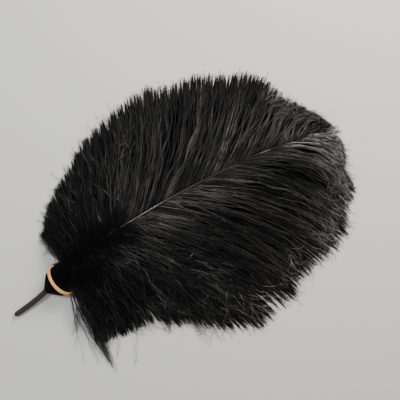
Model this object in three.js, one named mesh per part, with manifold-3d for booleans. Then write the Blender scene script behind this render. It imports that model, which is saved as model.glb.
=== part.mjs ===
// An ostrich plume lying back side up, its down gathered by a rubber band.
// Millimetres. +X runs from the quill to the tip, +Z is up and the plume lies on z = 0.
import * as THREE from "three";
import { mergeVertices } from "three/addons/utils/BufferGeometryUtils.js";
import Module from "manifold-3d";

// The middle of the plume's length and width, which becomes the origin.
const middle = { x: -12.8, y: 0.2 };

// Shaft stations: x, y, z of the centre line and the radius, from the cut quill to the tip.
const shaft = {
  stations: [
    [-160, -5.1, 2.5, 2.1],
    [-148, -3.8, 3.7, 2.25],
    [-137, -2.0, 5.4, 2.3],
    [-115, 3.5, 9.4, 2.25],
    [-90, 12.0, 14.2, 2.0],
    [-66, 15.5, 17.3, 1.7],
    [-47, 16.8, 18.9, 1.45],
    [-12, 18.6, 20.2, 1.2],
    [18, 18.8, 20.0, 1.0],
    [62, 17.6, 17.0, 0.75],
    [90, 14.4, 12.2, 0.6],
    [105, 11.2, 8.8, 0.5],
    [122, 5.5, 4.6, 0.4],
  ],
  rings: 30,
  sides: 8,
};

// How the barbs leave the shaft at each root x: start and end angle from +X, and length.
const rootsX = [-104, -98, -90, -78, -66, -47, -12, 18, 40, 62, 85, 103, 122];
const upper = {
  side: 1,
  start: [90, 84, 74, 64, 54, 44, 38, 37, 38, 42, 44, 40, 24],
  end: [128, 114, 100, 90, 80, 72, 64, 55, 42, 22, 2, -14, -6],
  length: [37, 46, 59, 76, 90, 107, 105, 94, 79, 58, 41, 28, 12],
  locks: 24,
  crowding: 1.15,
};
const lower = {
  side: -1,
  start: [-90, -78, -58, -49, -42, -38, -34, -30, -26, -20, -14, -10, -14],
  end: [-108, -98, -84, -78, -74, -72, -70, -70, -74, -80, -84, -80, -56],
  length: [72, 79, 86, 118, 149, 146, 139, 125, 108, 94, 65, 41, 12],
  locks: 28,
  crowding: 1.5,
};
const curl = 1.4; // how late along its length a barb bends
const droop = { from: 0.02, to: 0.97, pad: 0.9 }; // where a barb sinks to the surface
const vane = {
  rows: [0, 0.09, 0.24, 0.4, 0.56, 0.71, 0.84, 0.93, 1],
  crest: [1.2, 1.9, 2.9, 3.3, 3.2, 3.0, 2.7, 2.0, 0],
  furrow: [1.0, 1.0, 1.1, 1.2, 1.2, 1.2, 1.1, 0.8, 0],
  furrowDepth: 1.5,
  notch: [0.1, 0.24],
  rootInset: 0.35,
  turnBy: 3,
  stretchBy: 0.07,
};

// Single locks that lie over the vanes: root x, turn in degrees, share of the length there.
const over = {
  upper: [
    [-101, -12, 0.96],
    [-92, 9, 0.94],
    [-76, -8, 0.86],
    [-50, 7, 0.96],
    [-8, -6, 0.92],
    [30, 6, 0.98],
    [119, -16, 0.9],
  ],
  lower: [
    [-103, 8, 1.02],
    [-100, -4, 0.94],
    [-95, 9, 0.88],
    [-88, 14, 0.84],
    [-76, 15, 0.7],
    [-62, 12, 0.76],
    [-34, 8, 0.9],
    [6, 6, 0.94],
    [52, 7, 0.96],
  ],
  width: 3.0,
  height: 1.7,
  lift: 0.7,
};

// The down at the base, gathered into an oval bundle round the quill: place along its axis,
// half width, half height, and how far it has moved from the axis onto the shaft.
const tuft = {
  centre: [-111.5, 3.0, 9.9],
  heading: 9,
  sections: [
    [-19, 3.0, 3.0, 1],
    [-15, 6.8, 5.2, 0.7],
    [-11, 11.4, 7.5, 0.2],
    [-7.5, 12.7, 8.1, 0],
    [7.5, 12.7, 8.1, 0],
    [12, 13.6, 8.6, 0.1],
    [17, 13.0, 9.0, 0.35],
    [25, 11.0, 8.2, 0.7],
    [36, 8.5, 6.8, 1],
    [50, 6.5, 5.4, 1],
    [64, 2.4, 2.6, 1],
  ],
  ridges: 11,
  ridge: 0.4,
};

// The rubber band: a flat strip round the bundle, its top leaning towards the quill.
const band = { gap: 0.3, thick: 0.9, wide: 2.5, lean: 0.6, corner: 0.3, steps: 36 };

const smallest = 0.08; // detail finer than this is evened out where locks meet

const wasm = await Module();
wasm.setup();
const up = new THREE.Vector3(0, 0, 1);
const radians = THREE.MathUtils.degToRad;

// A fixed scatter between 0 and 1, so that each lock is a little different.
function scatter(i, k) {
  const v = Math.sin(i * 12.9898 + k * 78.233) * 43758.5453;
  return v - Math.floor(v);
}

// The value at x in a table whose places are ascending.
function at(places, values, x) {
  if (x <= places[0]) return values[0];
  for (let i = 1; i < places.length; i++)
    if (x <= places[i]) {
      const f = (x - places[i - 1]) / (places[i] - places[i - 1]);
      return values[i - 1] + f * (values[i] - values[i - 1]);
    }
  return values[values.length - 1];
}

const stationX = shaft.stations.map((s) => s[0]);
function shaftAt(x) {
  const [y, z, r] = [1, 2, 3].map((c) => at(stationX, shaft.stations.map((s) => s[c]), x));
  return { point: new THREE.Vector3(x, y, z), r };
}

// A closed body through rings of points, each ring with the same number of points.
function loft(rings, closedLoop = false) {
  const sides = rings[0].length;
  const flat = rings.flat();
  const index = [];
  const last = closedLoop ? rings.length : rings.length - 1;
  for (let i = 0; i < last; i++)
    for (let j = 0; j < sides; j++) {
      const a = i * sides + j;
      const b = i * sides + ((j + 1) % sides);
      const c = ((i + 1) % rings.length) * sides + ((j + 1) % sides);
      const d = ((i + 1) % rings.length) * sides + j;
      index.push(a, b, c, a, c, d);
    }
  if (!closedLoop) {
    const start = flat.length;
    const end = start + 1;
    flat.push(middleOf(rings[0]), middleOf(rings[rings.length - 1]));
    for (let j = 0; j < sides; j++) {
      const k = (j + 1) % sides;
      index.push(start, k, j);
      index.push(end, (rings.length - 1) * sides + j, (rings.length - 1) * sides + k);
    }
  }
  const body = new THREE.BufferGeometry().setFromPoints(flat);
  body.setIndex(index);
  return body;
}

function middleOf(points) {
  const sum = new THREE.Vector3();
  points.forEach((p) => sum.add(p));
  return sum.divideScalar(points.length);
}

// A ring of points round a centre, across the direction, with half width and half height.
function ringAcross(centre, along, wide, high, sides, radiusAt = () => 1) {
  const across = new THREE.Vector3().crossVectors(up, along).normalize();
  const rise = new THREE.Vector3().crossVectors(along, across).normalize();
  return Array.from({ length: sides }, (_, j) => {
    const angle = (j / sides) * 2 * Math.PI;
    const r = radiusAt(j);
    return centre
      .clone()
      .addScaledVector(across, Math.cos(angle) * wide * r)
      .addScaledVector(rise, Math.sin(angle) * high * r);
  });
}

function solidOf(body) {
  const bare = new THREE.BufferGeometry();
  bare.setAttribute("position", body.getAttribute("position"));
  bare.setIndex(body.index);
  const merged = mergeVertices(bare, 1e-3);
  return new wasm.Manifold(
    new wasm.Mesh({
      numProp: 3,
      vertProperties: new Float32Array(merged.attributes.position.array),
      triVerts: new Uint32Array(merged.index.array),
    }),
  );
}

// The path of one barb lock, which bends outwards or over as it sinks to the surface.
function barbPath(table, x, turn, stretch) {
  const steps = 40;
  const start = at(rootsX, table.start, x) + turn;
  const end = at(rootsX, table.end, x) + turn;
  const length = at(rootsX, table.length, x) * stretch;
  const root = shaftAt(x).point;
  const points = [root.clone()];
  for (let i = 0; i < steps; i++) {
    const t = (i + 0.5) / steps;
    const angle = radians(start + (end - start) * t ** curl);
    const step = new THREE.Vector3(Math.cos(angle), Math.sin(angle), 0);
    points.push(points[i].clone().addScaledVector(step, length / steps));
  }
  return (t) => {
    const place = t * steps;
    const i = Math.min(steps - 1, Math.floor(place));
    const p = points[i].clone().lerp(points[i + 1], place - i);
    const sunk = THREE.MathUtils.smoothstep(t, droop.from, droop.to);
    p.z = root.z + (droop.pad - root.z) * sunk;
    return p;
  };
}

function lockRoot(table, k) {
  const share = Math.max(0, Math.min(1, k / table.locks));
  return rootsX[0] + (122 - rootsX[0]) * share ** table.crowding;
}

function lockTurn(table, k) {
  return (scatter(k, table.side + 3) - 0.5) * 2 * vane.turnBy;
}

function lockStretch(table, k) {
  return 1 + (scatter(k, table.side + 7) - 0.5) * 2 * vane.stretchBy;
}

// One vane: pleated into locks, each with a crest and a pointed end, and furrows between them.
function vaneBody(table) {
  const columns = [];
  for (let k = 0; k <= table.locks; k++) {
    const turn = (lockTurn(table, k - 1) + lockTurn(table, k)) / 2;
    const notch = THREE.MathUtils.lerp(...vane.notch, scatter(k, 11));
    const stretch = ((lockStretch(table, k - 1) + lockStretch(table, k)) / 2) * (1 - notch);
    columns.push({ path: barbPath(table, lockRoot(table, k), turn, stretch), crest: false });
    if (k < table.locks) {
      const x = lockRoot(table, k + 0.5);
      const path = barbPath(table, x, lockTurn(table, k), lockStretch(table, k));
      columns.push({ path, crest: true });
    }
  }
  const rows = vane.rows.length;
  const points = [];
  const topAt = (c, r) => c * (2 * rows - 1) + r;
  const baseAt = (c, r) => (r === rows - 1 ? topAt(c, r) : c * (2 * rows - 1) + rows + r);
  for (const { path, crest } of columns) {
    const tops = vane.rows.map((t) => {
      const p = path(t);
      if (!crest) p.z -= vane.furrowDepth * Math.sin(Math.PI * Math.min(1, t * 1.05)) ** 2;
      return p;
    });
    const depth = crest ? vane.crest : vane.furrow;
    const bases = tops.slice(0, -1).map((p, r) => p.clone().addScaledVector(up, -depth[r]));
    for (const p of [tops[0], bases[0]]) p.y -= table.side * vane.rootInset;
    tops[rows - 1].z = 0.5;
    points.push(...tops, ...bases);
  }
  const index = [];
  const quad = (a, b, c, d) => index.push(a, b, c, a, c, d);
  for (let c = 0; c < columns.length - 1; c++) {
    for (let r = 0; r < rows - 1; r++) {
      quad(topAt(c, r), topAt(c + 1, r), topAt(c + 1, r + 1), topAt(c, r + 1));
      quad(baseAt(c, r), baseAt(c, r + 1), baseAt(c + 1, r + 1), baseAt(c + 1, r));
    }
    quad(topAt(c + 1, 0), topAt(c, 0), baseAt(c, 0), baseAt(c + 1, 0));
  }
  const end = columns.length - 1;
  for (let r = 0; r < rows - 1; r++) {
    quad(topAt(0, r), topAt(0, r + 1), baseAt(0, r + 1), baseAt(0, r));
    quad(topAt(end, r + 1), topAt(end, r), baseAt(end, r), baseAt(end, r + 1));
  }
  const faces = [];
  for (let i = 0; i < index.length; i += 3) {
    const [a, b, c] = index.slice(i, i + 3);
    if (a !== b && b !== c && a !== c) faces.push(...(table.side > 0 ? [a, b, c] : [a, c, b]));
  }
  const body = new THREE.BufferGeometry().setFromPoints(points);
  body.setIndex(faces);
  return solidOf(body);
}

// A single lock over the vane, round in section and pointed.
function lockBody(table, [x, turn, share]) {
  const path = barbPath(table, x, turn, share);
  const stops = [0.02, 0.16, 0.36, 0.56, 0.75, 0.9, 1];
  const rings = stops.map((t) => {
    const p = path(t);
    const along = path(Math.min(1, t + 0.02)).sub(path(Math.max(0, t - 0.02))).normalize();
    const full = Math.min(1, 0.45 + t * 2) * (1 - Math.max(0, (t - 0.7) / 0.3) ** 1.5 * 0.92);
    p.z += over.lift * (1 - t);
    return ringAcross(p, along, over.width * full, over.height * full, 6);
  });
  return solidOf(loft(rings));
}

function shaftBody() {
  const curve = new THREE.CatmullRomCurve3(
    shaft.stations.map(([x, y, z]) => new THREE.Vector3(x, y, z)),
    false,
    "centripetal",
  );
  const rings = Array.from({ length: shaft.rings + 1 }, (_, i) => {
    const point = curve.getPointAt(i / shaft.rings);
    const { r } = shaftAt(point.x);
    return ringAcross(point, curve.getTangentAt(i / shaft.rings), r, r, shaft.sides);
  });
  return solidOf(loft(rings));
}

const tuftAxis = new THREE.Vector3(
  Math.cos(radians(tuft.heading)),
  Math.sin(radians(tuft.heading)),
  0.06,
).normalize();
const tuftCentre = new THREE.Vector3(...tuft.centre);

function tuftBody() {
  const rings = tuft.sections.map(([place, wide, high, onShaft]) => {
    const centre = tuftCentre.clone().addScaledVector(tuftAxis, place);
    centre.lerp(shaftAt(centre.x).point, onShaft);
    const ridged = (j) => (j % 2 ? 1 - tuft.ridge / wide : 1);
    return ringAcross(centre, tuftAxis, wide, high, tuft.ridges * 2, ridged);
  });
  return solidOf(loft(rings));
}

// The band's strip, a rounded rectangle carried round the bundle's oval.
function bandBody() {
  const [, wide, high] = tuft.sections[3];
  const across = new THREE.Vector3().crossVectors(up, tuftAxis).normalize();
  const rise = new THREE.Vector3().crossVectors(tuftAxis, across).normalize();
  const w = band.wide / 2;
  const c = band.corner;
  const section = [
    [-w + c, 0],
    [w - c, 0],
    [w, c],
    [w, band.thick - c],
    [w - c, band.thick],
    [-w + c, band.thick],
    [-w, band.thick - c],
    [-w, c],
  ];
  const rings = Array.from({ length: band.steps }, (_, i) => {
    const angle = (i / band.steps) * 2 * Math.PI;
    const [cos, sin] = [Math.cos(angle), Math.sin(angle)];
    const out = across.clone().multiplyScalar(cos / wide).addScaledVector(rise, sin / high);
    out.normalize();
    return section.map(([along, height]) =>
      tuftCentre
        .clone()
        .addScaledVector(across, cos * wide)
        .addScaledVector(rise, sin * high)
        .addScaledVector(out, band.gap + height)
        .addScaledVector(tuftAxis, along - band.lean * sin * high),
    );
  });
  return loft(rings, true);
}

function featherSolid() {
  let solid = shaftBody().add(tuftBody());
  for (const table of [upper, lower]) {
    solid = solid.add(vaneBody(table));
    const singles = table.side > 0 ? over.upper : over.lower;
    for (const lock of singles) solid = solid.add(lockBody(table, lock));
  }
  const smoothed = solid.trimByPlane([0, 0, 1], 0).simplify(smallest);
  const whole = largest(solidOf(geometryOf(largest(smoothed))));
  return whole;
}

// The outer surface alone, so that small pockets shut in between locks are filled.
function largest(solid) {
  return solid.decompose().sort((a, b) => b.volume() - a.volume())[0];
}

function geometryOf(solid) {
  const { vertProperties, triVerts } = solid.getMesh();
  const body = new THREE.BufferGeometry();
  body.setAttribute("position", new THREE.BufferAttribute(vertProperties, 3));
  body.setIndex(new THREE.BufferAttribute(triVerts, 1));
  return body;
}

function named(name, body, colour) {
  body.translate(-middle.x, -middle.y, 0);
  body.computeVertexNormals();
  const mesh = new THREE.Mesh(body, new THREE.MeshStandardMaterial({ color: colour }));
  mesh.name = name;
  return mesh;
}

const plume = new THREE.Group();
plume.name = "ostrich_feather";
plume.add(named("feather", geometryOf(featherSolid()), 0x17161a));
plume.add(named("rubber_band", bandBody(), 0xd9b878));

export default plume;
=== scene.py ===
import math

import bmesh
import bpy
import numpy as np
from mathutils import Matrix, Vector


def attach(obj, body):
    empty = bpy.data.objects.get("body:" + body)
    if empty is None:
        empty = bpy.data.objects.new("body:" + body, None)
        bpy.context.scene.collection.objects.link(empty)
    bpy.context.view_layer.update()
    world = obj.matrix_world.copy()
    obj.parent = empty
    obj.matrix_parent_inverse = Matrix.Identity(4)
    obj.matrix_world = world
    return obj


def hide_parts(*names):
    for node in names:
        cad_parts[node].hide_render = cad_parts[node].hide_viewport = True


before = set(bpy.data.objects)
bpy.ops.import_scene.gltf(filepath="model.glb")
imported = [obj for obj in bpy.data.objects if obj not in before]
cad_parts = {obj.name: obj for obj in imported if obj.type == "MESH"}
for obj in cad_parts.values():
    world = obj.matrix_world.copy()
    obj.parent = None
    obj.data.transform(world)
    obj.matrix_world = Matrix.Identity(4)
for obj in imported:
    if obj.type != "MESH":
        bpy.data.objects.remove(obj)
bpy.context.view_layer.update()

rng = np.random.default_rng(11)

# The plume's own measures are in millimetres, with middle where the frame has its origin.
middle = np.array([-12.8, 0.2, 0.0])
shaftStations = np.array([
    [-160, -5.1, 2.5, 2.1],
    [-148, -3.8, 3.7, 2.25],
    [-137, -2.0, 5.4, 2.3],
    [-115, 3.5, 9.4, 2.25],
    [-90, 12.0, 14.2, 2.0],
    [-66, 15.5, 17.3, 1.7],
    [-47, 16.8, 18.9, 1.45],
    [-12, 18.6, 20.2, 1.2],
    [18, 18.8, 20.0, 1.0],
    [62, 17.6, 17.0, 0.75],
    [90, 14.4, 12.2, 0.6],
    [105, 11.2, 8.8, 0.5],
    [122, 5.5, 4.6, 0.4],
])  # x, y, z and radius along the shaft
rootsX = np.array([-104, -98, -90, -78, -66, -47, -12, 18, 40, 62, 85, 103, 122])
# Headings in degrees at the root and at the tip, and lengths, of the barbs that start at rootsX.
# Their last table is painted light and shade: the brightness of their roots, middles and ends, lighter
# where the barbs face the lamp and darker where they lie in shade, at the roots in the x list below.
narrowVane = {
    "seed": 1,
    "start": [112, 102, 90, 77, 61, 46, 38, 37, 38, 42, 44, 40, 24],
    "end": [104, 95, 83, 77, 74, 70, 64, 55, 42, 22, 2, -14, -6],
    "length": [34, 43, 57, 75, 91, 109, 107, 96, 81, 58, 41, 28, 12],
    "paintedLight": ((0.42, 0.64, 0.58, 0.42), (0.46, 0.62, 0.66, 0.68), (0.5, 0.6, 0.55, 1.0)),
}
wideVane = {
    "seed": -1,
    "start": [-97, -80, -58, -49, -42, -38, -34, -30, -26, -20, -14, -10, -14],
    "end": [-112, -98, -84, -78, -74, -72, -70, -70, -74, -80, -84, -80, -56],
    "length": [64, 74, 83, 127, 154, 149, 141, 127, 109, 94, 65, 41, 12],
    "paintedLight": ((0.8, 0.9, 0.2, 0.35), (0.52, 0.24, 0.5, 3.8), (0.84, 0.45, 1.08, 4.4)),
}
# x of the roots for the painted light and shade tables
paintedLightX = [-104, -30, 60, 100]
curl = 1.4  # above 1, a barb turns late on its way to the tip
droop = {"from": 0.02, "to": 0.97, "pad": 0.9}
unruly = {"x": [-104, -66, -30, 40, 122], "mess": [1.0, 0.9, 0.45, 0.15, 0.35]}
messAdds = {
    "strays": 2.5,
    "turn": 2.2,
    "strayTurn": 0.6,
    "wobble": 2.0,
    "contrast": 0.8,
    "shade": 0.6,
    "spread": 0.9,
    "long": 0.35,
}  # how much of each an unruly barb has more than an orderly one
rimShare = 0.75  # how far the roots follow the rim, against even steps along the shaft
leastHeight = {"barb": 0.3, "strand": 0.4, "barbule": 0.12}
pathSteps = 48
# shares of a barb's length: the middles of its steps, and its points
stepT = (np.arange(pathSteps) + 0.5)[None] / pathSteps
pointT = np.linspace(0, 1, pathSteps + 1)[None]
seeds = {
    "wispTurn": 21,
    "wispStretch": 27,
    "wispRise": 33,
    "wispShade": 41,
    "lockTurn": 51,
    "lockStretch": 57,
    "waveLong": 61,
    "wavePhase": 67,
    "wave": 71,
}


# Repeatable scatter between 0 and 1, by number and seed.
def scatter(i, seed):
    v = np.sin(i * 12.9898 + seed * 78.233) * 43758.5453
    return v - np.floor(v)


def smooth(t, low, high):
    s = np.clip((t - low) / (high - low), 0, 1)
    return s * s * (3 - 2 * s)


def partWay(span, share):
    low, high = span
    return low + (high - low) * share


# A share between 0 and 1 as an offset to either side, up to the given size.
def offset(share, size):
    return (share - 0.5) * 2 * size


# Slow waver between 0 and 1 from place to place.
def waver(place, seed):
    low = np.floor(place)
    return partWay((scatter(low, seed), scatter(low + 1, seed)), smooth(place - low, 0, 1))


def unit(v):
    return v / np.maximum(np.linalg.norm(v, axis=-1, keepdims=True), 1e-9)


def shaftAt(x):
    return [np.interp(x, shaftStations[:, 0], shaftStations[:, c]) for c in (1, 2, 3)]


def lengthAt(vane, x):
    return np.interp(x, rootsX, vane["length"])


# How unruly the barbs are, by root: downy and tangled at the base, orderly further out.
def messAt(x):
    return np.interp(x, unruly["x"], unruly["mess"])


# Level paths from 0, 0 by the heading of every step, in radians, and each path's own step.
def walked(angle, step):
    paths = np.zeros((len(angle), angle.shape[1] + 1, 3))
    paths[:, 1:, 0] = np.cumsum(np.cos(angle) * step, 1)
    paths[:, 1:, 1] = np.cumsum(np.sin(angle) * step, 1)
    return paths


# Barbs from their roots on the shaft, sinking to the surface that the plume lies on.
def barbPaths(vane, x, turn, stretch, bend=0.0):
    start = np.interp(x, rootsX, vane["start"]) + turn
    end = np.interp(x, rootsX, vane["end"]) + turn
    length = lengthAt(vane, x) * stretch
    angle = np.radians(start[:, None] + (end - start)[:, None] * stepT ** curl + bend)
    y, z, _ = shaftAt(x)
    paths = walked(angle, length[:, None] / pathSteps)
    paths += np.stack([x, y, z], -1)[:, None]
    paths[:, :, 2] += (droop["pad"] - z)[:, None] * smooth(pointT, droop["from"], droop["to"])
    return paths


# Waves along n barbs: amplitudes and cycles each drawn between two ends.
def waves(n, size, cycles, t=stepT):
    phase = rng.uniform(0, 1, (n, 1))
    return rng.uniform(*size, (n, 1)) * np.sin(2 * np.pi * (rng.uniform(*cycles, (n, 1)) * t + phase))


# How far along a vane each root comes: mostly by the way its tip goes round the rim.
def spreadOf(vane):
    x = np.linspace(rootsX[0], rootsX[-1], 300)
    tips = barbPaths(vane, x, 0.0, np.ones(len(x)))[:, -1]
    rim = np.concatenate([[0], np.cumsum(np.linalg.norm(np.diff(tips, axis=0), axis=1))])
    share = rimShare * rim / rim[-1] + (1 - rimShare) * (x - x[0]) / (x[-1] - x[0])
    return x, share


# Where along a barb each bend or lift sets in.
setsIn = {
    "wobble": (0.0, 0.5),
    "frizz": (0.45, 0.95),
    "wave": (0.0, 0.3),
    "hang": (0.0, 0.55),
    "heave": (0.05, 0.4),
    "loosen": (0.6, 1.0),
}
hookX = [-60, 90]
hookLate = 5


# How each barb bends by itself: a slow wobble, a hook at the tip and a fine frizz.
def ownBend(vane, look, x, mess):
    n = len(x)
    wobble = waves(n, look["wobble"], look["wobbles"]) * smooth(stepT, *setsIn["wobble"])
    hook = rng.normal(0, 1, n) * np.interp(x, hookX, look["hook"])
    cycles = lengthAt(vane, x) / rng.uniform(*look["frizzLong"], n)
    frizz = np.sin(2 * np.pi * (cycles[:, None] * stepT + rng.uniform(0, 1, (n, 1))))
    frizz *= rng.uniform(*look["frizz"], (n, 1))
    bend = wobble * (1 + messAdds["wobble"] * mess)[:, None] + hook[:, None] * stepT ** hookLate
    return bend + frizz * smooth(stepT, *setsIn["frizz"])


# How the barbs of a wisp wave together.
def wispBend(vane, look, x, wisp, mess):
    cycles = lengthAt(vane, x) / partWay(look["waveLong"], scatter(wisp, vane["seed"] + seeds["waveLong"]))
    phase = scatter(wisp, vane["seed"] + seeds["wavePhase"])
    swing = partWay(look["wave"], scatter(wisp, vane["seed"] + seeds["wave"])) * (1 + mess)
    wave = np.sin(2 * np.pi * (cycles[:, None] * stepT + phase[:, None]))
    return wave * swing[:, None] * smooth(stepT, *setsIn["wave"])


# Barbs hang a little below their plain paths, rise with their wisps and heave.
def liftBarbs(paths, vane, look, wisp, stray, mess):
    n = len(paths)
    z = paths[:, :, 2]
    hang = rng.uniform(*look["hang"], n)[:, None] * smooth(pointT, *setsIn["hang"])
    z -= hang * np.maximum(z - 1.0, 0)
    rise = rng.normal(look["rise"], look["riseBy"], n) + stray * look["strayRise"]
    rise += scatter(wisp, vane["seed"] + seeds["wispRise"]) * look["wispRise"]
    z += rise[:, None] * np.sin(np.pi * np.minimum(pointT * 1.02, 1)) ** 0.7
    heave = waves(n, look["heave"], look["heaves"], pointT) * smooth(pointT, *setsIn["heave"])
    z += heave * (1 + mess)[:, None]
    np.maximum(z, leastHeight["barb"], out=z)


# Barbs of one vane: each leans towards its wisp as it nears the tip.
def vaneBarbs(vane, look):
    n = look["barbs"]
    wisps = look["wisps"]
    even = (np.arange(n) + rng.uniform(0.1, 0.9, n)) / n
    spreadX, spread = spreadOf(vane)
    place = partWay(np.interp(look["between"], spreadX, spread), even)
    x = np.interp(place, spread, spreadX)
    mess = messAt(x) * look["mess"]
    stray = rng.uniform(0, 1, n) < look["strays"] * (1 + messAdds["strays"] * mess)
    lock = place * look["locks"]
    lockTurn = offset(waver(lock, vane["seed"] + seeds["lockTurn"]), look["lockTurn"])
    lockStretch = offset(waver(lock, vane["seed"] + seeds["lockStretch"]), look["lockStretch"])
    turn = rng.normal(0, look["turn"], n) * (1 + messAdds["turn"] * mess)
    turn += stray * rng.normal(0, look["strayTurn"], n) * (1 + messAdds["strayTurn"] * mess)
    turn += lockTurn
    stretch = partWay(look["stretch"], rng.uniform(0, 1, n) ** look["evenEnds"])
    stretch *= 1 + lockStretch
    stretch -= np.minimum(np.abs(turn) / 100, 0.3)  # a barb that turns away ends sooner
    own = barbPaths(vane, x, turn, stretch, ownBend(vane, look, x, mess))
    wisp = np.floor(place * wisps + rng.normal(0, 0.3, n))
    wispTurn = offset(scatter(wisp, vane["seed"] + seeds["wispTurn"]), look["wispTurn"]) * (1 + mess)
    wispStretch = offset(scatter(wisp, vane["seed"] + seeds["wispStretch"]), look["wispStretch"])
    together = barbPaths(
        vane,
        np.interp((wisp + 0.5) / wisps, spread, spreadX),
        wispTurn + lockTurn,
        stretch + wispStretch,
        wispBend(vane, look, x, wisp, mess),
    )
    held = np.where(stray, 0.15, 1.0)[:, None, None]
    loose = look["loosen"] * smooth(pointT, *setsIn["loosen"])
    tight = look["toWisp"] * (smooth(pointT, *look["gather"]) - loose)
    paths = own + (together - own) * tight[:, :, None] * held * (1 - 0.5 * mess)[:, None, None]
    liftBarbs(paths, vane, look, wisp, stray, mess)
    shade = look["wispShade"] * scatter(wisp, vane["seed"] + seeds["wispShade"])
    shade += (1 - look["wispShade"]) * rng.uniform(0, 1, n)
    shade = shade ** (1 + messAdds["contrast"] * mess) * (1 + messAdds["shade"] * mess)
    # painted light and shade of each barb, from the vane's last table
    paintedLight = np.stack([np.interp(x, paintedLightX, row) for row in vane["paintedLight"]])
    return paths, np.maximum(shade, stray * look["strayShade"]), mess, paintedLight


# Strands of a shade and unruliness of their own, that take no painted light and shade from a vane.
def looseStrands(paths, shade, mess):
    n = len(paths)
    paths[:, :, 2] = np.maximum(paths[:, :, 2], leastHeight["strand"])
    return paths, shade, np.full(n, mess), np.ones((3, n))


ringAngles = np.radians([90, 210, 330])
barbuleStations = {"spread": [0, 0.3, 0.75, 1], "long": [0, 0.12, 0.35, 0.85, 1]}
# where a barb's painted light and shade goes over from root to middle and from middle to end
paintedLightTurns = {"middle": (0.12, 0.4), "end": (0.55, 0.9)}  # where a barb's glow goes over to the next
shadeMost = 1.6


# Frames along paths: tangent, across and rise, for (n, m, 3) points.
def framesOf(paths):
    along = unit(np.gradient(paths, axis=1))
    across = unit(np.cross(np.array([0.0, 0.0, 1.0]), along))
    return along, across, np.cross(along, across)


# Three-sided closed strands along the paths.
def strands(paths, look, thick):
    keep = paths[:, :: look["every"]]
    n, m, _ = keep.shape
    _, across, rise = framesOf(keep)
    t = np.linspace(0, 1, m)
    radius = thick[:, None] * (1 - look["taper"] * t ** look["point"])
    rings = []
    for a in ringAngles:
        aside = across * (np.cos(a) * radius * look["flat"])[:, :, None]
        rings.append(keep + aside + rise * (np.sin(a) * radius)[:, :, None])
    points = np.stack(rings, 2)
    first = np.arange(n)[:, None, None] * m * 3 + np.arange(m - 1)[None, :, None] * 3
    j = np.arange(3)[None, None]
    k = (j + 1) % 3
    a, b, c, d = first + j, first + k, first + k + 3, first + j + 3
    sides = [np.stack(corners, -1).reshape(-1, 3) for corners in ([a, b, c], [a, c, d])]
    start = np.arange(n)[:, None] * m * 3
    caps = [start + [2, 1, 0], start + (m - 1) * 3 + [0, 1, 2]]
    place = np.broadcast_to(t[None, :, None], (n, m, 3))
    who = np.broadcast_to(np.arange(n)[:, None, None], (n, m, 3))
    return points.reshape(-1, 3), np.concatenate(sides + caps), place.reshape(-1), who.reshape(-1)


# Barbules: closed four-sided spikes that lie forward along both sides of each barb.
def barbules(paths, mess, look):
    n, m, _ = paths.shape
    per = look["barbules"]
    row = np.arange(n)[:, None]
    order = np.arange(per)[None]
    u = partWay(look["reach"], ((order + rng.uniform(0, 1, (n, per))) / per) ** look["pack"])
    place = np.minimum(u * (m - 1), m - 1.001)
    i = place.astype(int)
    f = (place - i)[..., None]
    base = paths[row, i] * (1 - f) + paths[row, i + 1] * f
    along, across, rise = [v[row, i] for v in framesOf(paths)]
    side = np.where((order + row) % 2, 1.0, -1.0)
    tilt = np.radians(rng.normal(0, look["tilt"], (n, per)))
    spread = np.interp(u, barbuleStations["spread"], look["spread"]) * rng.uniform(0.55, 1.4, (n, per))
    spread = np.radians(spread * (1 + messAdds["spread"] * mess[:, None]))
    aside = across * (side * np.cos(tilt))[..., None] + rise * np.sin(tilt)[..., None]
    way = unit(along * np.cos(spread)[..., None] + aside * np.sin(spread)[..., None])
    long = np.interp(u, barbuleStations["long"], look["long"]) * rng.uniform(0.65, 1.2, (n, per))
    long *= 1 + messAdds["long"] * mess[:, None]
    tip = base + way * long[..., None]
    tip[..., 2] -= look["sag"] * long
    tip[..., 2] = np.maximum(tip[..., 2], leastHeight["barbule"])
    flank = unit(np.cross(way, rise + 1e-3))
    top = np.cross(way, flank)
    corners = [base + (flank * math.cos(a) + top * math.sin(a)) * look["wide"] for a in ringAngles]
    points = np.stack(corners + [tip], 2).reshape(-1, 3)
    q = np.arange(n * per)[:, None] * 4
    faces = np.concatenate([q + [0, 1, 3], q + [1, 2, 3], q + [2, 0, 3], q + [0, 2, 1]])
    glint = rng.uniform(0, 1, (n, per)) ** 2 * 2.6 * look["barbuleShade"]
    who = np.broadcast_to(row, (n, per))
    u, who, glint = [np.repeat(v.reshape(-1), 4) for v in (u, who, glint)]
    return points, faces, u, who, glint


# Faces turned outwards, by the sign of the volume that they close.
def outward(points, faces):
    a, b, c = points[faces[:, 0]], points[faces[:, 1]], points[faces[:, 2]]
    volume = np.einsum("ij,ij->", a, np.cross(b, c))
    return faces if volume > 0 else faces[:, ::-1]


def pieceOf(name, mesh, material, node="feather"):
    mesh.materials.append(material)
    piece = bpy.data.objects.new(name, mesh)
    bpy.context.collection.objects.link(piece)
    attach(piece, "root")
    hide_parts(node)
    print(f"{name}: {len(mesh.polygons)} faces")


# A mesh of triangles from millimetre points, with a value of each attribute for every point.
def triangleMesh(name, points, faces, values):
    mesh = bpy.data.meshes.new(name)
    mesh.vertices.add(len(points))
    mesh.vertices.foreach_set("co", ((points - middle) * 0.001).astype(np.float32).ravel())
    mesh.loops.add(faces.size)
    mesh.loops.foreach_set("vertex_index", faces.astype(np.int32).ravel())
    mesh.polygons.add(len(faces))
    mesh.polygons.foreach_set("loop_start", np.arange(0, faces.size, 3, dtype=np.int32))
    mesh.polygons.foreach_set("use_smooth", np.ones(len(faces), bool))
    mesh.update(calc_edges=True)
    for key, value in values.items():
        layer = mesh.attributes.new(key, "FLOAT", "POINT")
        layer.data.foreach_set("value", np.asarray(value, np.float32))
    return mesh


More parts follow.
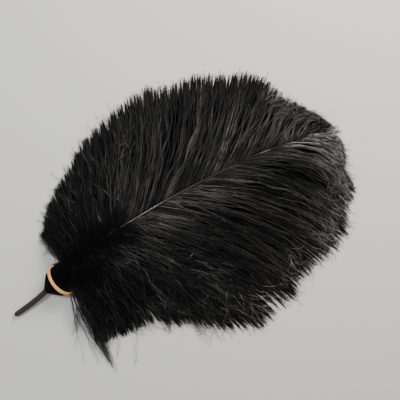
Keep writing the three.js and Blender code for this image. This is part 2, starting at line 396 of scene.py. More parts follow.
# One piece of the plume: its barbs and their barbules in one mesh.
def plumePiece(name, barbs, look, material):
    paths, shade, mess, paintedLight = barbs
    thick = rng.uniform(*look["thick"], len(paths))
    points, faces, along, who = strands(paths, look, thick)
    spikePoints, spikeFaces, spikeAlong, spikeWho, glint = barbules(paths, mess, look)
    faces = np.concatenate([outward(points, faces), outward(spikePoints, spikeFaces) + len(points)])
    glint = np.concatenate([np.ones(len(along)), glint])
    points = np.concatenate([points, spikePoints])
    along = np.concatenate([along, spikeAlong])
    who = np.concatenate([who, spikeWho])
    # painted light and shade along each barb, blended from root to middle to end
    root, centre, end = paintedLight[:, who]
    paintedTone = root + (centre - root) * smooth(along, *paintedLightTurns["middle"])
    paintedTone += (end - centre) * smooth(along, *paintedLightTurns["end"])
    values = {"along": along, "shade": np.minimum(shade[who] * glint * paintedTone, shadeMost)}
    pieceOf(name, triangleMesh(name, points, faces, values), material)


# Materials

def nodeIn(tree, kind, **values):
    node = tree.nodes.new(kind)
    for key, value in values.items():
        setattr(node, key, value)
    return node


# A value carried from one range over to another.
def ranged(tree, value, low, high, toLow=0.0, toHigh=1.0, curve="LINEAR"):
    node = nodeIn(tree, "ShaderNodeMapRange", interpolation_type=curve)
    node.inputs["From Min"].default_value = low
    node.inputs["From Max"].default_value = high
    node.inputs["To Min"].default_value = toLow
    node.inputs["To Max"].default_value = toHigh
    tree.links.new(value, node.inputs["Value"])
    return node.outputs["Result"]


def scaled(tree, value, factor):
    node = nodeIn(tree, "ShaderNodeMath", operation="MULTIPLY")
    node.inputs[1].default_value = factor
    tree.links.new(value, node.inputs[0])
    return node.outputs[0]


def joined(tree, first, second, operation="MULTIPLY", clamp=False):
    node = nodeIn(tree, "ShaderNodeMath", operation=operation, use_clamp=clamp)
    tree.links.new(first, node.inputs[0])
    tree.links.new(second, node.inputs[1])
    return node.outputs[0]


def colourBetween(tree, share, first, second):
    node = nodeIn(tree, "ShaderNodeMix", data_type="RGBA")
    tree.links.new(share, node.inputs["Factor"])
    tree.links.new(first, node.inputs["A"])
    tree.links.new(second, node.inputs["B"])
    return node.outputs["Result"]


def noiseIn(tree, where, scale, detail):
    node = nodeIn(tree, "ShaderNodeTexNoise")
    node.inputs["Scale"].default_value = scale
    node.inputs["Detail"].default_value = detail
    tree.links.new(where, node.inputs["Vector"])
    return node.outputs["Fac"]


def rampIn(tree, value, stops):
    node = nodeIn(tree, "ShaderNodeValToRGB")
    for element, (place, colour) in zip(node.color_ramp.elements, stops):
        element.position = place
        element.color = (*colour, 1)
    tree.links.new(value, node.inputs["Fac"])
    return node.outputs["Color"]


def bumpIn(tree, height, strength, distance):
    node = nodeIn(tree, "ShaderNodeBump")
    node.inputs["Strength"].default_value = strength
    node.inputs["Distance"].default_value = distance
    tree.links.new(height, node.inputs["Height"])
    return node.outputs["Normal"]


def newMaterial(name):
    material = bpy.data.materials.new(name)
    material.use_nodes = True
    tree = material.node_tree
    return material, tree, tree.nodes["Principled BSDF"]


# Noises have a scale and a detail; ranges run from low and high to low and high.
tintLook = {
    "mottle": (55, 4),
    # the dash keys are painted highlights: bright dashes along each barb
    "dashAlong": 6.0,
    "dashAcross": 173.0,
    "dashNoise": (1.0, 1.5),
    "dash": (0.3, 0.75, 0.15, 1.6),
    # painted light and shade: darker at the base of the plume, lighter towards its tip
    "outer": (-0.1, 0.14, 0.42, 1.6),  # by X, in metres
    "lift": (0.08, 1.16),
    "ends": (0.75, 1.0),  # by the place along a barb
    "far": (0.085, 0.13, 0.3, 1.0),  # by X, in metres
    "rough": (0.0, 1.0, 0.34, 0.62),
}


# Tint and roughness of a barb from its place along it and its shade value, which holds its own random tone
# and its painted light and shade.
def barbGroup(look):
    group = bpy.data.node_groups.new("barbTint", "ShaderNodeTree")
    for name in ("Deep", "Light", "Tip"):
        group.interface.new_socket(name, in_out="INPUT", socket_type="NodeSocketColor")
    group.interface.new_socket("Color", in_out="OUTPUT", socket_type="NodeSocketColor")
    group.interface.new_socket("Roughness", in_out="OUTPUT", socket_type="NodeSocketFloat")
    ins = nodeIn(group, "NodeGroupInput")
    outs = nodeIn(group, "NodeGroupOutput")
    along = nodeIn(group, "ShaderNodeAttribute", attribute_name="along").outputs["Fac"]
    shade = nodeIn(group, "ShaderNodeAttribute", attribute_name="shade").outputs["Fac"]
    where = nodeIn(group, "ShaderNodeTexCoord").outputs["Object"]
    apart = nodeIn(group, "ShaderNodeSeparateXYZ")
    group.links.new(where, apart.inputs["Vector"])
    mottle = noiseIn(group, where, *look["mottle"])
    # painted highlights: bright dashes of noise along each barb, different from barb to barb
    dashAt = nodeIn(group, "ShaderNodeCombineXYZ")
    group.links.new(scaled(group, along, look["dashAlong"]), dashAt.inputs["X"])
    group.links.new(scaled(group, shade, look["dashAcross"]), dashAt.inputs["Y"])
    paintedDashes = noiseIn(group, dashAt.outputs["Vector"], *look["dashNoise"])
    streak = joined(group, shade, ranged(group, paintedDashes, *look["dash"]))
    # painted light and shade: lighter from the base of the plume to its tip
    outer = ranged(group, apart.outputs["X"], *look["outer"], curve="SMOOTHSTEP")
    litStreak = joined(group, joined(group, streak, mottle), outer)
    lift = ranged(group, litStreak, *look["lift"])
    body = colourBetween(group, lift, ins.outputs["Deep"], ins.outputs["Light"])
    # brownish ends with painted light on them, most of all near the tip of the plume
    ends = ranged(group, along, *look["ends"], curve="SMOOTHSTEP")
    far = ranged(group, apart.outputs["X"], *look["far"], curve="SMOOTHSTEP")
    tipTintAndLight = joined(group, joined(group, ends, far, clamp=True), lift, clamp=True)
    tinted = colourBetween(group, tipTintAndLight, body, ins.outputs["Tip"])
    group.links.new(tinted, outs.inputs["Color"])
    group.links.new(ranged(group, shade, *look["rough"]), outs.inputs["Roughness"])
    return group


barbTint = barbGroup(tintLook)


def barbMaterial(name, look):
    material, tree, shader = newMaterial(name)
    tint = nodeIn(tree, "ShaderNodeGroup", node_tree=barbTint)
    tint.inputs["Deep"].default_value = (*look["deep"], 1)
    tint.inputs["Light"].default_value = (*look["light"], 1)
    tint.inputs["Tip"].default_value = (*look["tip"], 1)
    tree.links.new(tint.outputs["Color"], shader.inputs["Base Color"])
    tree.links.new(tint.outputs["Roughness"], shader.inputs["Roughness"])
    shader.inputs["Specular IOR Level"].default_value = look["specular"]
    return material


hornLook = {
    "stretch": (60, 900, 900),
    "grain": (1.0, 5),
    "ramp": ((0.0, (0.006, 0.0055, 0.006)), (1.0, (0.03, 0.024, 0.021))),
    "rough": (0.0, 1.0, 0.14, 0.32),
    "foot": (-0.05, -0.032, 0.34, 0.0),  # by X: how much more matt the shaft is towards its foot
    "bump": (0.25, 0.0001),
}


def hornMaterial(look):
    material, tree, shader = newMaterial("dyed_horn")
    where = nodeIn(tree, "ShaderNodeTexCoord").outputs["Object"]
    stretch = nodeIn(tree, "ShaderNodeMapping")
    stretch.inputs["Scale"].default_value = look["stretch"]
    tree.links.new(where, stretch.inputs["Vector"])
    apart = nodeIn(tree, "ShaderNodeSeparateXYZ")
    tree.links.new(where, apart.inputs["Vector"])
    grain = noiseIn(tree, stretch.outputs["Vector"], *look["grain"])
    foot = ranged(tree, apart.outputs["X"], *look["foot"], curve="SMOOTHSTEP")
    rough = joined(tree, ranged(tree, grain, *look["rough"]), foot, operation="ADD")
    tree.links.new(rampIn(tree, grain, look["ramp"]), shader.inputs["Base Color"])
    tree.links.new(rough, shader.inputs["Roughness"])
    tree.links.new(bumpIn(tree, grain, *look["bump"]), shader.inputs["Normal"])
    return material


rubberLook = {
    "fine": (420, 6),
    "broad": (70, 2),
    "ramp": ((0.3, (0.57, 0.29, 0.065)), (0.7, (0.77, 0.45, 0.12))),
    "rough": (0.0, 1.0, 0.58, 0.8),
    "specular": 0.1,
    "bump": (0.3, 0.00008),
}


def rubberMaterial(look):
    material, tree, shader = newMaterial("tan_rubber")
    where = nodeIn(tree, "ShaderNodeTexCoord").outputs["Object"]
    fine = noiseIn(tree, where, *look["fine"])
    broad = noiseIn(tree, where, *look["broad"])
    tree.links.new(rampIn(tree, broad, look["ramp"]), shader.inputs["Base Color"])
    tree.links.new(ranged(tree, fine, *look["rough"]), shader.inputs["Roughness"])
    tree.links.new(bumpIn(tree, fine, *look["bump"]), shader.inputs["Normal"])
    shader.inputs["Specular IOR Level"].default_value = look["specular"]
    return material


topLook = {
    "deep": (0.002, 0.002, 0.0022),
    "light": (0.38, 0.362, 0.342),
    "tip": (0.3, 0.22, 0.195),
    "specular": 0.35,
}
# A shaded copy for the layer below: painted near black, as shade between the wisps above.
underLook = {
    "deep": (0.0015, 0.0015, 0.0016),
    "light": (0.004, 0.004, 0.004),
    "tip": (0.16, 0.14, 0.13),
    "specular": 0.15,
}
# A lit copy for the tip half of the plume and its curled ends: light and tip colours painted lighter, as
# painted light.
endLook = {**topLook, "light": (0.52, 0.487, 0.455), "tip": (0.95, 0.87, 0.83)}
# A lit copy for the tangled strands: painted highlights, drawn lighter than the other barbs.
highlitLook = {**topLook, "light": (0.6, 0.578, 0.555)}
# A shaded copy for the down at the base: painted dark, as shade in the fluff.
downLook = {**topLook, "light": (0.036, 0.034, 0.033), "tip": (0.012, 0.0115, 0.0115), "specular": 0.12}
topMaterial = barbMaterial("dyed_barbs", topLook)
endMaterial = barbMaterial("lit_tip_barbs", endLook)
underMaterial = barbMaterial("shaded_underbarbs", underLook)
highlitMaterial = barbMaterial("highlit_barbs", highlitLook)
downMaterial = barbMaterial("shaded_down", downLook)
print("materials made")

# Vanes: the barbs on top, a flatter layer below them painted near black as shade, a fan at the tip and a
# hanging lock.

vaneLook = {
    "barbs": 440,
    "between": (-103, 121),  # roots, by their x
    "mess": 1.0,
    "locks": 17,  # broad groups of barbs
    "lockTurn": 1.6,  # turns, bends and hooks are in degrees
    "lockStretch": 0.045,
    "turn": 1.6,
    "strays": 0.07,  # share of barbs that leave their wisp
    "strayTurn": 10.0,
    "strayRise": 1.5,
    "strayShade": 0.85,
    "wave": (5, 16),  # of a whole wisp
    "waveLong": (16, 42),
    "stretch": (0.86, 1.03),
    "evenEnds": 0.55,  # below 1, most barbs are near their full length
    "wobble": (1, 5),
    "wobbles": (0.8, 3.0),
    "hook": (16, 62),  # near the base and near the tip of the plume
    "frizz": (2, 12),
    "frizzLong": (12, 26),
    "wisps": 112,
    "wispTurn": 2.2,
    "wispStretch": 0.035,
    "wispRise": 2.6,
    "wispShade": 0.55,  # share of a barb's shade that its wisp gives
    "toWisp": 0.85,  # how far barbs draw together
    "gather": (0.06, 0.4),  # where along them they do so
    "loosen": 0.7,  # how far they part again at their tips
    "hang": (0.0, 0.12),
    "rise": 0.8,
    "riseBy": 0.5,
    "heave": (0.3, 1.0),
    "heaves": (2.0, 4.0),
    "thick": (0.12, 0.24),  # radius of a barb
    "flat": 1.4,
    "taper": 0.75,
    "point": 1.3,
    "every": 2,  # path points to a ring
    "barbules": 72,  # to a barb
    "barbuleShade": 0.55,
    "reach": (0.05, 1.0),  # where along a barb they grow
    "pack": 0.75,
    "spread": (10, 9, 15, 42),
    "tilt": 30,
    "long": (0.6, 1.4, 2.4, 3.2, 1.3),
    "sag": 0.08,
    "wide": 0.09,
}
underVane = {
    **vaneLook,
    "barbs": 370,
    "mess": 0.1,
    "lockTurn": 0.0,
    "hang": (0.15, 0.8),
    "turn": 0.4,
    "strays": 0.0,
    "wispRise": 0.0,
    "toWisp": 0.0,
    "wobble": (0.3, 1.2),
    "hook": (2, 4),
    "frizz": (0, 0),
    "rise": -1.4,
    "riseBy": 0.4,
    "heave": (0, 0.3),
    "thick": (0.3, 0.45),
    "flat": 3.6,
    "taper": 0.94,
    "point": 12.0,
    "every": 4,
    "barbules": 24,
    "reach": (0.5, 1.0),
    "spread": (16, 20, 32, 46),
    "long": (0.6, 1.4, 3.4, 4.2, 2.4),
    "wide": 0.17,
    "stretch": (0.9, 0.98),
}
narrowLook = {
    **vaneLook,
    "wisps": 84,
    "wispShade": 0.8,
    "wispRise": 3.4,
    "strayTurn": 6.0,
    "toWisp": 0.92,
    "loosen": 0.55,
    "wave": (7, 20),
    "waveLong": (20, 48),
}
plumePiece("narrow_vane_barbs", vaneBarbs(narrowVane, narrowLook), narrowLook, topMaterial)
plumePiece("narrow_vane_underbarbs", vaneBarbs(narrowVane, underVane), underVane, underMaterial)
wideBase = {
    **vaneLook,
    "mess": 1.3,
    "wave": (8, 22),
    "waveLong": (13, 34),
    "frizz": (6, 26),
    "barbs": 330,
    "between": (-103, -38),
    "barbules": 92,
    "wisps": 100,
    "wispStretch": 0.16,
    "toWisp": 0.95,
    "loosen": 0.4,
}
wideTip = {
    **vaneLook,
    "hook": (14, 36),
    "frizz": (5, 20),
    "loosen": 0.58,
    "barbs": 340,
    "between": (-46, 121),
    "barbules": 84,
    "wisps": 104,
    "wispShade": 0.65,
}
plumePiece("wide_vane_barbs_base", vaneBarbs(wideVane, wideBase), wideBase, topMaterial)
plumePiece("wide_vane_barbs_tip", vaneBarbs(wideVane, wideTip), wideTip, endMaterial)
wideUnder = {**underVane, "barbs": 520, "barbules": 20, "stretch": (0.9, 0.99)}
plumePiece("wide_vane_underbarbs", vaneBarbs(wideVane, wideUnder), wideUnder, underMaterial)
# The fan at the tip and the hanging lock have painted light and shade in their last tables too: the fan
# drawn lighter, the lock a little darker.
tipFan = {
    "seed": 1,
    "start": [6] * len(rootsX),
    "end": [-26] * len(rootsX),
    "length": [19] * len(rootsX),
    "paintedLight": ((1.0,) * 4, (1.6,) * 4, (2.4,) * 4),
}
tipLook = {
    **vaneLook,
    "barbs": 40,
    "between": (108, 121.5),
    "turn": 12,
    "toWisp": 0.2,
    "rise": 0.2,
    "wispRise": 1.0,
}
plumePiece("tip_barbs", vaneBarbs(tipFan, tipLook), tipLook, endMaterial)
spikeFan = {
    "seed": -1,
    "start": [-97] * len(rootsX),
    "end": [-92] * len(rootsX),
    "length": [88] * len(rootsX),
    "paintedLight": ((0.7,) * 4, (0.7,) * 4, (0.9,) * 4),
}
spikeLook = {
    **vaneLook,
    "barbs": 80,
    "between": (-103.9, -101.5),
    "gather": (0.4, 1.0),
    "mess": 0.15,
    "turn": 5.0,
    "stretch": (0.62, 1.04),
    "evenEnds": 0.8,
    "wave": (1, 3),
    "frizz": (0, 8),
    "loosen": 0.0,
    "barbules": 50,
}
plumePiece("base_spike", vaneBarbs(spikeFan, spikeLook), spikeLook, topMaterial)
print("vanes made")

# The down at the base, gathered by the band and fanning out beyond it.

tuft = {
    "centre": np.array([-111.5, 3.0, 9.9]),
    "heading": 9.0,
    "slope": 0.06,
    "wide": 12.7,
    "high": 8.1,
    "gatherAt": (-16.0, -12.0, -8.0, -4.0, 0.0, 3.0),
    "gatherIn": (0.2, 0.55, 0.86, 0.97, 0.985, 0.985),
}
tuftLook = {
    "strands": 300,
    "steps": 42,
    "depth": (0.35, 0.98),
    "middleFan": (-30, 22),
    "upperFan": (5, 92),
    "lowerFan": (-8, -112),
    "upperLong": ((0, 40, 84), (40, 56, 50)),
    "lowerLong": ((0, 30, 60, 112), (48, 84, 88, 76)),
    "rest": (0.6, 5.0),
    "wobble": (4, 20),
    "wobbles": (0.6, 2.0),
    "heave": (0.2, 1.4),
    "thick": (0.12, 0.24),
    "flat": 1.3,
    "taper": 0.7,
    "point": 1.3,
    "every": 2,
    "barbules": 30,
    "barbuleShade": 0.6,
    "reach": (0.28, 1.0),
    "pack": 1.0,
    "spread": (14, 18, 30, 40),
    "tilt": 45,
    "long": (0.3, 0.6, 2.0, 3.2, 2.0),
    "sag": 0.12,
    "wide": 0.07,
}


def tuftAxis():
    heading = math.radians(tuft["heading"])
    return np.array([math.cos(heading), math.sin(heading), tuft["slope"]])


def tuftPaths(look):
    n = look["strands"]
    around = rng.uniform(0, 2 * np.pi, n)
    depth = np.sqrt(rng.uniform(*look["depth"], n))
    side = np.cos(around) * depth
    height = np.sin(around) * depth
    axis = tuftAxis()
    across = np.array([-axis[1], axis[0], 0.0])
    gathered = []
    for place, share in zip(tuft["gatherAt"], tuft["gatherIn"]):
        p = tuft["centre"] + axis * place + across * (side * tuft["wide"] * share)[:, None]
        p[:, 2] += height * tuft["high"] * share
        gathered.append(p)
    gathered = np.stack(gathered, 1)
    # strands of the lower side fan further round than those of the upper side
    lower = side < 0
    fan = partWay(look["lowerFan"], rng.uniform(0, 1, n) ** 0.6)
    fan = np.where(lower, fan, rng.uniform(*look["upperFan"], n))
    fan = np.where(np.abs(side) < 0.25, rng.uniform(*look["middleFan"], n), fan)
    long = np.where(lower, np.interp(-fan, *look["lowerLong"]), np.interp(fan, *look["upperLong"]))
    long = long * rng.uniform(0.7, 1.02, n)
    t = (np.arange(look["steps"]) + 0.5)[None] / look["steps"]
    bend = smooth(t, 0.0, 0.45) * 0.75 + smooth(t, 0.2, 1.0) * 0.25
    wobble = waves(n, look["wobble"], look["wobbles"], t) * smooth(t, 0, 0.4)
    angle = math.radians(tuft["heading"]) + np.radians(fan[:, None] * bend + wobble)
    beyond = walked(angle, (long / look["steps"])[:, None])[:, 1:]
    start = gathered[:, -1]
    beyond[:, :, :2] += start[:, None, :2]
    top = start[:, 2][:, None] + np.maximum(height, 0)[:, None] * 4 * smooth(t, 0, 0.3)
    rest = rng.uniform(*look["rest"], n)[:, None]
    beyond[:, :, 2] = partWay((top, rest), smooth(t, 0.1, 0.95))
    beyond[:, :, 2] += waves(n, look["heave"], look["wobbles"], t) * smooth(t, 0, 0.3)
    return looseStrands(np.concatenate([gathered, beyond], 1), rng.uniform(0, 1, n), 0.8)


# Loose down that stands over the foot of the shaft and lies on both vanes.
looseLook = {
    **tuftLook,
    "strands": 270,
    "between": (-108, -54),
    "footX": (-108, -96, -80, -54),
    "footWide": (10, 6, 3, 3),
    "footHigh": (7, 4.5, 3.6, 3.0),
    "sink": ((0, 10, 25, 45, 60), (0, 1.0, 5.0, 11.0, 15.0)),
    "arch": (-0.5, 2.5),
    "fan": (8, 112),
    "length": (18, 44),
    "wobble": (8, 28),
    "wobbles": (0.7, 2.2),
    "heave": (0.4, 1.6),
    "every": 3,
    "barbules": 36,
    "reach": (0.05, 1.0),
    "spread": (20, 22, 30, 44),
    "long": (1.0, 2.2, 3.0, 3.2, 2.0),
    "wide": 0.08,
}


def loosePaths(look):
    n = look["strands"]
    x = partWay(look["between"], rng.uniform(0, 1, n) ** 1.25)
    side = rng.choice([-1.0, 1.0], n)
    y, z, _ = shaftAt(x)
    apart = rng.uniform(-0.5, 1, n) * np.interp(x, look["footX"], look["footWide"])
    fan = rng.uniform(*look["fan"], n)
    angle = side[:, None] * (fan[:, None] * (0.55 + 0.45 * smooth(stepT, 0, 0.8)))
    wobble = waves(n, look["wobble"], look["wobbles"]) * smooth(stepT, 0.0, 0.4)
    angle = np.radians(angle + tuft["heading"] + wobble)
    paths = walked(angle, (rng.uniform(*look["length"], n) / pathSteps)[:, None])
    paths[:, :, 0] += x[:, None]
    paths[:, :, 1] += (y + side * apart)[:, None]
    top = z + np.interp(x, look["footX"], look["footHigh"])
    away = np.abs(paths[:, :, 1] - y[:, None])
    arch = rng.uniform(*look["arch"], (n, 1)) * np.sin(np.pi * pointT * 0.9)
    paths[:, :, 2] = top[:, None] - np.interp(away, *look["sink"]) + arch
    paths[:, :, 2] += waves(n, look["heave"], look["wobbles"], pointT)
    paths[:, :, 2] -= 1.2 * (1 - smooth(pointT, 0, 0.12))
    return looseStrands(paths, rng.uniform(0, 1, n), 0.8)


# Strands that leave their barbs at point i, turned from the barb's own heading there.
def branched(under, i, turn, length):
    row = np.arange(len(under))
    base = under[row, i]
    ahead = under[row, i + 1] - base
    angle = np.arctan2(ahead[:, 1], ahead[:, 0])[:, None] + np.radians(turn)
    return walked(angle, (length / pathSteps)[:, None]) + base[:, None]


# Short tangled strands on top of the vanes' bases, each across the barbs below it.
tangleLook = {
    **vaneLook,
    "strands": 130,
    "from": (0.1, 0.8),
    "reachTo": 1.0,  # share of the barb below at which the longest end
    "fan": 30,
    "length": (12, 34),
    "wobble": (10, 34),
    "wobbles": (0.6, 2.0),
    "heave": (0.2, 1.0),
    "rise": (0.8, 2.8),
    "thick": (0.13, 0.24),
    "every": 3,
    "barbules": 34,
    "barbuleShade": 0.7,
    "spread": (18, 20, 26, 34),
    "long": (0.8, 1.8, 2.4, 2.2, 1.0),
}


def tanglePaths(vane, look, between):
    n = look["strands"]
    x = rng.uniform(*between, n)
    under = barbPaths(vane, x, rng.normal(0, 3, n), rng.uniform(0.85, 1.0, n))
    start = rng.uniform(*look["from"], n)
    turn = rng.normal(0, look["fan"], n)[:, None] + waves(n, look["wobble"], look["wobbles"])
    length = rng.uniform(*look["length"], n)
    share = length / lengthAt(vane, x)
    # none reaches far past the rim
    start = np.clip(look["reachTo"] - share, 0.02, start)
    paths = branched(under, (start * (pathSteps - 1)).astype(int), turn, length)
    # each lies on the barb that it leaves, at the height that this has further out
    level = np.clip(start[:, None] + pointT * share[:, None], 0, 1) * pathSteps
    low = np.minimum(level.astype(int), pathSteps - 1)
    row = np.arange(n)[:, None]
    height = under[row, low, 2] * (1 - level + low)
    height += under[row, low + 1, 2] * (level - low)
    paths[:, :, 2] = height + rng.uniform(*look["rise"], n)[:, None] * np.sin(np.pi * (0.15 + 0.8 * pointT))
    paths[:, :, 2] += waves(n, look["heave"], look["wobbles"], pointT)
    return looseStrands(paths, rng.uniform(0.1, 1, n) ** 1.8 * 1.5, 0.6)


# Short curled ends round the rim: each leaves a barb near its tip and turns in on itself.
curlLook = {
    **vaneLook,
    "strands": 60,
    "back": (0.3, 1.2),
    "length": (7, 16),
    "fan": 16,
    "curl": (20, 110),
    "clockwise": ((-60, 0), (0.3, 0.78)),  # share that turns so, by x
    "rise": (0.6, 2.0),
    # painted highlight: how much lighter the curled ends are drawn
    "bright": 1.5,
    "thick": (0.1, 0.17),
    "flat": 1.2,
    "every": 4,
    "barbules": 14,
    "barbuleShade": 0.7,
    "spread": (14, 16, 22, 30),
    "long": (0.5, 0.9, 1.2, 1.0, 0.6),
    "wide": 0.07,
}


def curlPaths(vane, look, between):
    n = look["strands"]
    spreadX, spread = spreadOf(vane)
    low, high = np.interp(between, spreadX, spread)
    x = np.interp(rng.uniform(low, high, n), spread, spreadX)
    under = barbPaths(vane, x, rng.normal(0, 2, n), rng.uniform(0.93, 1.0, n))
    length = rng.uniform(*look["length"], n)
    back = rng.uniform(*look["back"], n) * length / lengthAt(vane, x)
    i = (np.clip(1 - back, 0.3, 0.97) * (pathSteps - 1)).astype(int)
    way = np.where(rng.uniform(0, 1, n) < np.interp(x, *look["clockwise"]), -1.0, 1.0)
    turn = rng.normal(0, look["fan"], n)[:, None]
    turn = turn + (way * rng.uniform(*look["curl"], n))[:, None] * stepT ** 1.3
    paths = branched(under, i, turn, length)
    paths[:, :, 2] += rng.uniform(*look["rise"], n)[:, None] * np.sin(np.pi * (0.12 + 0.8 * pointT))
    return looseStrands(paths, rng.uniform(0.2, 1, n) ** 1.2 * look["bright"], 0.2)


wideCurls = {
    **curlLook,
    "strands": 250,
    "back": (0.3, 1.6),
    "length": (7, 18),
    "curl": (20, 105),
    "bright": 1.9,
}
wideTangle = {**tangleLook, "strands": 250, "length": (14, 42)}
narrowTangled, wideTangled = (-97, -50), (-97, -58)
plumePiece("narrow_vane_curls", curlPaths(narrowVane, curlLook, (50, 120)), curlLook, endMaterial)
plumePiece("wide_vane_curls", curlPaths(wideVane, wideCurls, (-103, 88)), wideCurls, endMaterial)
tangle = tanglePaths(narrowVane, tangleLook, narrowTangled)
plumePiece("narrow_vane_tangle", tangle, tangleLook, highlitMaterial)
tangle = tanglePaths(wideVane, wideTangle, wideTangled)
plumePiece("wide_vane_tangle", tangle, wideTangle, highlitMaterial)
plumePiece("base_down", tuftPaths(tuftLook), tuftLook, downMaterial)
plumePiece("loose_down", loosePaths(looseLook), looseLook, downMaterial)
print("down made")

# The shaft: a round quill that turns into a tapering rib with a groove below.

shaftLook = {
    "from": -160.0,
    "to": 122.0,
    "rings": 200,
    "sides": 20,
    "even": 11,
    "blunt": 3.0,
    "groove": 0.22,
    "grooveFrom": (-125, -70),
}


# The shaft's centre line and radius, evened out over its neighbours, with a blunt foot.
def shaftLine(look):
    x = np.linspace(look["from"], look["to"], look["rings"])
    reach = look["even"]
    kernel = np.hanning(2 * reach + 1)
    kernel /= kernel.sum()
    even = []
    for v in shaftAt(x):
        before = 2 * v[0] - v[reach:0:-1]
        after = 2 * v[-1] - v[-2 : -2 - reach : -1]
        even.append(np.convolve(np.concatenate([before, v, after]), kernel, "valid"))
    y, z, radius = even
    blunt = np.clip((x - x[0]) / look["blunt"], 0, 1)
    radius = radius * (0.55 + 0.45 * np.sqrt(1 - (1 - blunt) ** 2))
    return np.stack([x, y, z], -1), radius


# A ring's place: its own x, y and z axes, scaled, at a point of the line.
def ringPlace(centre, along, across, rise, radius):
    turn = Matrix((across * radius, rise * radius, along)).transposed().to_4x4()
    return Matrix.Translation(centre) @ turn


def finished(name, shape, material, node="feather"):
    bmesh.ops.translate(shape, verts=shape.verts, vec=Vector(-middle))
    bmesh.ops.scale(shape, verts=shape.verts, vec=Vector((0.001, 0.001, 0.001)))
    bmesh.ops.recalc_face_normals(shape, faces=shape.faces)
    for face in shape.faces:
        face.smooth = True
    mesh = bpy.data.meshes.new(name)
    shape.to_mesh(mesh)
    shape.free()
    pieceOf(name, mesh, material, node)


def shaftPiece(look):
    line, radius = shaftLine(look)
    along, across, rise = [v[0] for v in framesOf(line[None])]
    rib = smooth(line[:, 0], *look["grooveFrom"])
    shape = bmesh.new()
    bmesh.ops.create_circle(shape, cap_ends=False, segments=look["sides"], radius=1.0)
    ring = list(shape.verts)
    edges = list(shape.edges)
    foot = edges
    before = Matrix.Identity(4)
    for k in range(look["rings"]):
        if k:
            made = bmesh.ops.extrude_edge_only(shape, edges=edges)["geom"]
            ring = [g for g in made if isinstance(g, bmesh.types.BMVert)]
            edges = [g for g in made if isinstance(g, bmesh.types.BMEdge)]
        place = ringPlace(*[Vector(v) for v in (line[k], along[k], across[k], rise[k])], radius[k])
        bmesh.ops.transform(shape, matrix=place @ before.inverted(), verts=ring)
        before = place
    # the groove runs along the underside of the rib
    shape.verts.ensure_lookup_table()
    rows = {}
    for vert in shape.verts:
        row = int(np.argmin(np.abs(line[:, 0] - vert.co.x)))
        rows.setdefault(row, []).append(vert)
    for row, verts in rows.items():
        deep = look["groove"] * rib[row] * radius[row]
        low = sorted(verts, key=lambda v: (v.co - Vector(line[row])).dot(Vector(rise[row])))[:3]
        for vert, share in zip(low, (1.0, 0.45, 0.45)):
            bmesh.ops.translate(shape, verts=[vert], vec=Vector(rise[row]) * float(deep * share))
    for end in (foot, edges):
        bmesh.ops.contextual_create(shape, geom=end)
    finished("shaft", shape, hornMaterial(hornLook))


shaftPiece(shaftLook)

# The rubber band round the down: a rounded strip spun round, then drawn out to the down's oval.

bandLook = {
    "gap": 0.3,
    "thick": 0.9,
    "wide": 2.5,
    "corner": 0.3,
    "lean": 0.6,
    "slip": 0.12,
    "uneven": (0.05, 0.03),
    "steps": 160,
    "turnAt": 10.0,
}


def bandPiece(look):
    axis = unit(tuftAxis())
    across = unit(np.cross([0, 0, 1], axis))
    rise = np.cross(axis, across)
    low, high = look["turnAt"], look["turnAt"] + look["thick"]
    half = look["wide"] / 2
    section = ((low, 0, -half), (high, 0, -half), (high, 0, half), (low, 0, half))
    shape = bmesh.new()
    corners = [shape.verts.new(place) for place in section]
    shape.faces.new(corners)
    bmesh.ops.bevel(
        shape,
        geom=corners,
        offset=look["corner"],
        affect="VERTICES",
        segments=3,
        profile=0.5,
        material=-1,
    )
    edges = list(shape.edges)
    bmesh.ops.delete(shape, geom=list(shape.faces), context="FACES_ONLY")
    bmesh.ops.spin(
        shape,
        geom=edges,
        cent=(0, 0, 0),
        axis=(0, 0, 1),
        angle=2 * math.pi,
        steps=look["steps"],
        use_merge=True,
    )
    for vert in shape.verts:
        angle = math.atan2(vert.co.y, vert.co.x)
        deep = math.hypot(vert.co.x, vert.co.y) - look["turnAt"] + look["gap"]
        slow, fast = look["uneven"]
        width = 1 + slow * math.sin(3 * angle + 1) + fast * math.sin(7 * angle)
        slip = look["slip"] * math.sin(2 * angle + 0.5) - look["lean"] * math.sin(angle) * tuft["high"]
        out = unit(across * (math.cos(angle) / tuft["wide"]) + rise * (math.sin(angle) / tuft["high"]))
        oval = across * (math.cos(angle) * tuft["wide"]) + rise * (math.sin(angle) * tuft["high"])
        vert.co = Vector(tuft["centre"] + oval + out * deep + axis * (vert.co.z * width + slip))
    finished("band", shape, rubberMaterial(rubberLook), node="rubber_band")


bandPiece(bandLook)
print("shaft and band made")

# Stage, light and camera, in metres.

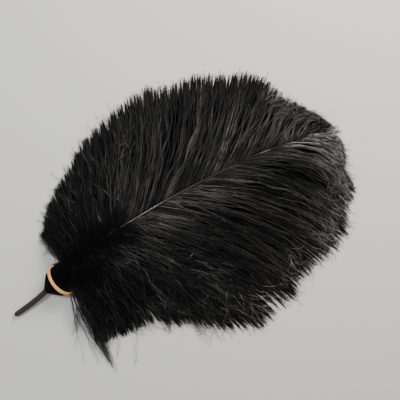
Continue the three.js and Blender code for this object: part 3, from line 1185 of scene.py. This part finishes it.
floorLook = {"half": 1.5, "colour": (0.72, 0.71, 0.7), "rough": 0.9}
keyLook = {"place": (0.5, 0.3, 0.45), "size": 0.3, "power": 6.0, "colour": (1.0, 0.97, 0.94)}
topLightLook = {"place": (-0.15, 0.3, 0.75), "size": 0.14, "power": 2.6, "colour": (0.97, 0.98, 1.0)}
lightAim = (0.0, 0.0, 0.01)
worldStrength = 0.45
cameraLook = {"place": (0.0252, 0.0065, 0.4433), "turn": -28, "lens": 50, "sensor": 36}


def stageFloor(look):
    mesh = bpy.data.meshes.new("floor")
    h = look["half"]
    mesh.from_pydata([(-h, -h, 0), (h, -h, 0), (h, h, 0), (-h, h, 0)], [], [(0, 1, 2, 3)])
    floor = bpy.data.objects.new("floor", mesh)
    bpy.context.collection.objects.link(floor)
    material, _, shader = newMaterial("pale_floor")
    shader.inputs["Base Color"].default_value = (*look["colour"], 1)
    shader.inputs["Roughness"].default_value = look["rough"]
    mesh.materials.append(material)


def softLight(name, look):
    light = bpy.data.lights.new(name, "AREA")
    light.size = look["size"]
    light.energy = look["power"]
    light.color = look["colour"]
    lamp = bpy.data.objects.new(name, light)
    bpy.context.collection.objects.link(lamp)
    lamp.location = look["place"]
    to = np.array(lightAim) - np.array(look["place"])
    yaw = math.atan2(to[1], to[0])
    pitch = math.atan2(math.hypot(to[0], to[1]), -to[2])
    lamp.rotation_euler = (pitch, 0, yaw - math.pi / 2)


def paleWorld(strength):
    world = bpy.data.worlds.new("studio")
    world.use_nodes = True
    background = world.node_tree.nodes["Background"]
    background.inputs["Color"].default_value = (1, 1, 1, 1)
    background.inputs["Strength"].default_value = strength
    bpy.context.scene.world = world


# The camera looks straight down.
def cameraAbove(look):
    camera = bpy.data.cameras.new("camera")
    camera.lens = look["lens"]
    camera.sensor_width = look["sensor"]
    eye = bpy.data.objects.new("camera", camera)
    bpy.context.collection.objects.link(eye)
    eye.location = look["place"]
    eye.rotation_euler = (0, 0, math.radians(look["turn"]))
    bpy.context.scene.camera = eye


stageFloor(floorLook)
softLight("key", keyLook)
softLight("top", topLightLook)
paleWorld(worldStrength)
cameraAbove(cameraLook)
print("stage, light and camera made")
